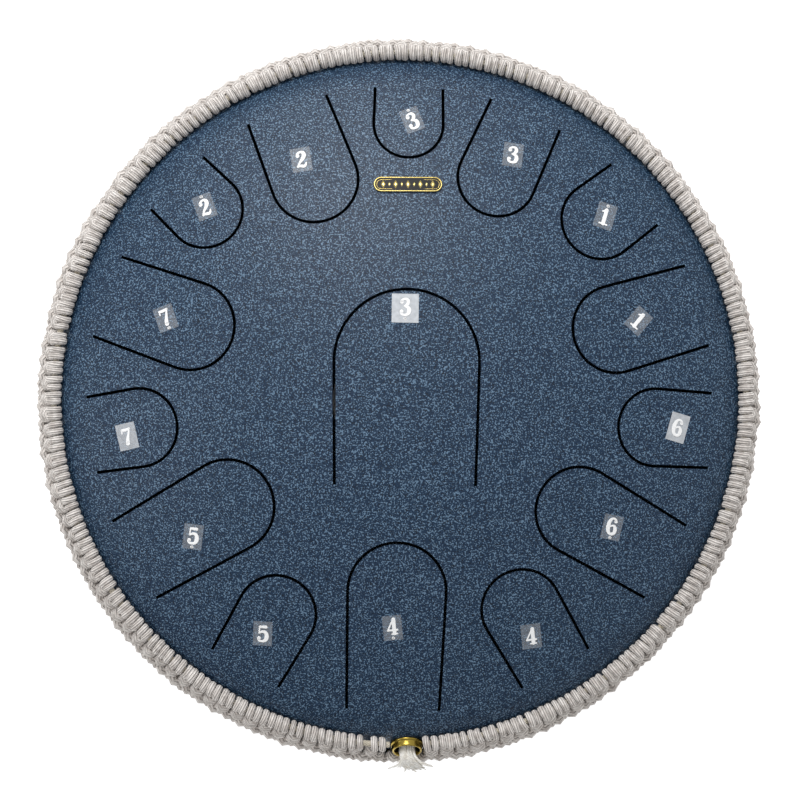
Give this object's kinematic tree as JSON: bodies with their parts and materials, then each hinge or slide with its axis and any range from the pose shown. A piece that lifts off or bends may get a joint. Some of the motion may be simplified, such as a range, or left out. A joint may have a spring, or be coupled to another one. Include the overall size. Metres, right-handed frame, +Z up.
{
  "type": "steel tongue drum",
  "caption": "Round steel tongue drum: a domed blue shell with numbered tongues cut into its top, a sound hole below, rubber feet and a knotted cotton cover round the rim.",
  "frame": {"origin": "centre of the drum on the plane its feet stand on", "axes": "+Z up along the drum's axis, -Y towards the brass ring at the front"},
  "size_m": [0.3668, 0.3717, 0.1551],
  "materials": {
    "top_coat": "fine sand-textured powder coat, satin, navy to teal blue",
    "base_coat": "fine sand-textured powder coat, satin, dark navy",
    "badge": "black enamel field with a raised gold rim",
    "rubber": "matte moulded rubber",
    "cotton": "twisted soft cotton cord, matte, light grey-beige",
    "draw_cord": "smooth cream cotton cord",
    "cotton_ends": "frayed cream-white cotton",
    "brass": "polished brass",
    "film": "clear printed film with a white numeral",
    "magnet": "nickel-plated"
  },
  "bodies": {
    "drum": {"top_shell": "top_coat", "bottom_shell": "base_coat", "badge_plate": "badge", "rubber_feet": "rubber", "cover_top_wraps": "cotton", "cover_net": "cotton", "cover_bottom_wraps": "cotton", "draw_cord_top": "draw_cord", "draw_cord_bottom": "draw_cord", "cord_ends": "cotton_ends", "frayed_tuft": "cotton_ends"},
    "tongue_3_low": {"tongue_3_low": "top_coat", "number_sticker_3_low": "film", "tuning_magnet_3_low": "magnet"},
    "tongue_4_low": {"tongue_4_low": "top_coat", "number_sticker_4_low": "film", "tuning_magnet_4_low": "magnet"},
    "tongue_5_low": {"tongue_5_low": "top_coat", "number_sticker_5_low": "film", "tuning_magnet_5_low": "magnet"},
    "tongue_6_low": {"tongue_6_low": "top_coat", "number_sticker_6_low": "film", "tuning_magnet_6_low": "magnet"},
    "tongue_7_low": {"tongue_7_low": "top_coat", "number_sticker_7_low": "film", "tuning_magnet_7_low": "magnet"},
    "tongue_1": {"tongue_1": "top_coat", "number_sticker_1": "film", "tuning_magnet_1": "magnet"},
    "tongue_2": {"tongue_2": "top_coat", "number_sticker_2": "film", "tuning_magnet_2": "magnet"},
    "tongue_3": {"tongue_3": "top_coat", "number_sticker_3": "film", "tuning_magnet_3": "magnet"},
    "tongue_4": {"tongue_4": "top_coat", "number_sticker_4": "film", "tuning_magnet_4": "magnet"},
    "tongue_5": {"tongue_5": "top_coat", "number_sticker_5": "film", "tuning_magnet_5": "magnet"},
    "tongue_6": {"tongue_6": "top_coat", "number_sticker_6": "film", "tuning_magnet_6": "magnet"},
    "tongue_7": {"tongue_7": "top_coat", "number_sticker_7": "film", "tuning_magnet_7": "magnet"},
    "tongue_1_high": {"tongue_1_high": "top_coat", "number_sticker_1_high": "film", "tuning_magnet_1_high": "magnet"},
    "tongue_2_high": {"tongue_2_high": "top_coat", "number_sticker_2_high": "film", "tuning_magnet_2_high": "magnet"},
    "tongue_3_high": {"tongue_3_high": "top_coat", "number_sticker_3_high": "film", "tuning_magnet_3_high": "magnet"},
    "ring": {"brass_ring": "brass"}
  },
  "joints": [
    {"name": "tongue_3_low_bend", "type": "hinge", "parent": "drum", "child": "tongue_3_low", "pos_m": [0.00096, -0.04229, 0.15156], "axis": [-0.9999, 0.014, 0], "range_deg": [-0.3, 0.3], "stiffness_Nm_per_rad": 60},
    {"name": "tongue_4_low_bend", "type": "hinge", "parent": "drum", "child": "tongue_4_low", "pos_m": [-0.0043, -0.15394, 0.11936], "axis": [-0.9997, 0.0262, 0], "range_deg": [-0.3, 0.3], "stiffness_Nm_per_rad": 60},
    {"name": "tongue_5_low_bend", "type": "hinge", "parent": "drum", "child": "tongue_5_low", "pos_m": [-0.13187, -0.07955, 0.11936], "axis": [-0.497, 0.8678, 0], "range_deg": [-0.3, 0.3], "stiffness_Nm_per_rad": 50},
    {"name": "tongue_6_low_bend", "type": "hinge", "parent": "drum", "child": "tongue_6_low", "pos_m": [0.13103, -0.08092, 0.11936], "axis": [-0.4985, -0.8669, 0], "range_deg": [-0.3, 0.3], "stiffness_Nm_per_rad": 50},
    {"name": "tongue_7_low_bend", "type": "hinge", "parent": "drum", "child": "tongue_7_low", "pos_m": [-0.14552, 0.05039, 0.11936], "axis": [0.3371, 0.9415, 0], "range_deg": [-0.3, 0.3], "stiffness_Nm_per_rad": 30},
    {"name": "tongue_1_bend", "type": "hinge", "parent": "drum", "child": "tongue_1", "pos_m": [0.14687, 0.04631, 0.11936], "axis": [0.2823, -0.9593, 0], "range_deg": [-0.3, 0.3], "stiffness_Nm_per_rad": 30},
    {"name": "tongue_2_bend", "type": "hinge", "parent": "drum", "child": "tongue_2", "pos_m": [-0.05669, 0.14319, 0.11936], "axis": [0.9354, 0.3535, 0], "range_deg": [-0.3, 0.3], "stiffness_Nm_per_rad": 30},
    {"name": "tongue_3_bend", "type": "hinge", "parent": "drum", "child": "tongue_3", "pos_m": [0.06165, 0.14112, 0.11936], "axis": [0.9092, -0.4163, 0], "range_deg": [-0.3, 0.3], "stiffness_Nm_per_rad": 30},
    {"name": "tongue_4_bend", "type": "hinge", "parent": "drum", "child": "tongue_4", "pos_m": [0.0763, -0.13377, 0.11936], "axis": [-0.8625, -0.506, 0], "range_deg": [-0.3, 0.3], "stiffness_Nm_per_rad": 30},
    {"name": "tongue_5_bend", "type": "hinge", "parent": "drum", "child": "tongue_5", "pos_m": [-0.07723, -0.13323, 0.11936], "axis": [-0.8678, 0.497, 0], "range_deg": [-0.3, 0.3], "stiffness_Nm_per_rad": 30},
    {"name": "tongue_6_bend", "type": "hinge", "parent": "drum", "child": "tongue_6", "pos_m": [0.15318, -0.01583, 0.11936], "axis": [-0.0523, -0.9986, 0], "range_deg": [-0.3, 0.3], "stiffness_Nm_per_rad": 20},
    {"name": "tongue_7_bend", "type": "hinge", "parent": "drum", "child": "tongue_7", "pos_m": [-0.15295, -0.01797, 0.11936], "axis": [-0.1444, 0.9895, 0], "range_deg": [-0.3, 0.3], "stiffness_Nm_per_rad": 20},
    {"name": "tongue_1_high_bend", "type": "hinge", "parent": "drum", "child": "tongue_1_high", "pos_m": [0.11587, 0.10144, 0.11936], "axis": [0.6032, -0.7976, 0], "range_deg": [-0.3, 0.3], "stiffness_Nm_per_rad": 20},
    {"name": "tongue_2_high_bend", "type": "hinge", "parent": "drum", "child": "tongue_2_high", "pos_m": [-0.11115, 0.10659, 0.11936], "axis": [0.7046, 0.7096, 0], "range_deg": [-0.3, 0.3], "stiffness_Nm_per_rad": 20},
    {"name": "tongue_3_high_bend", "type": "hinge", "parent": "drum", "child": "tongue_3_high", "pos_m": [0.00376, 0.15395, 0.11936], "axis": [0.9997, -0.0262, 0], "range_deg": [-0.3, 0.3], "stiffness_Nm_per_rad": 20},
    {"name": "ring_slide", "type": "slide", "parent": "drum", "child": "ring", "axis": [0.0148, -0.8479, 0.5299], "range_m": [0, 0.0012]}
  ]
}
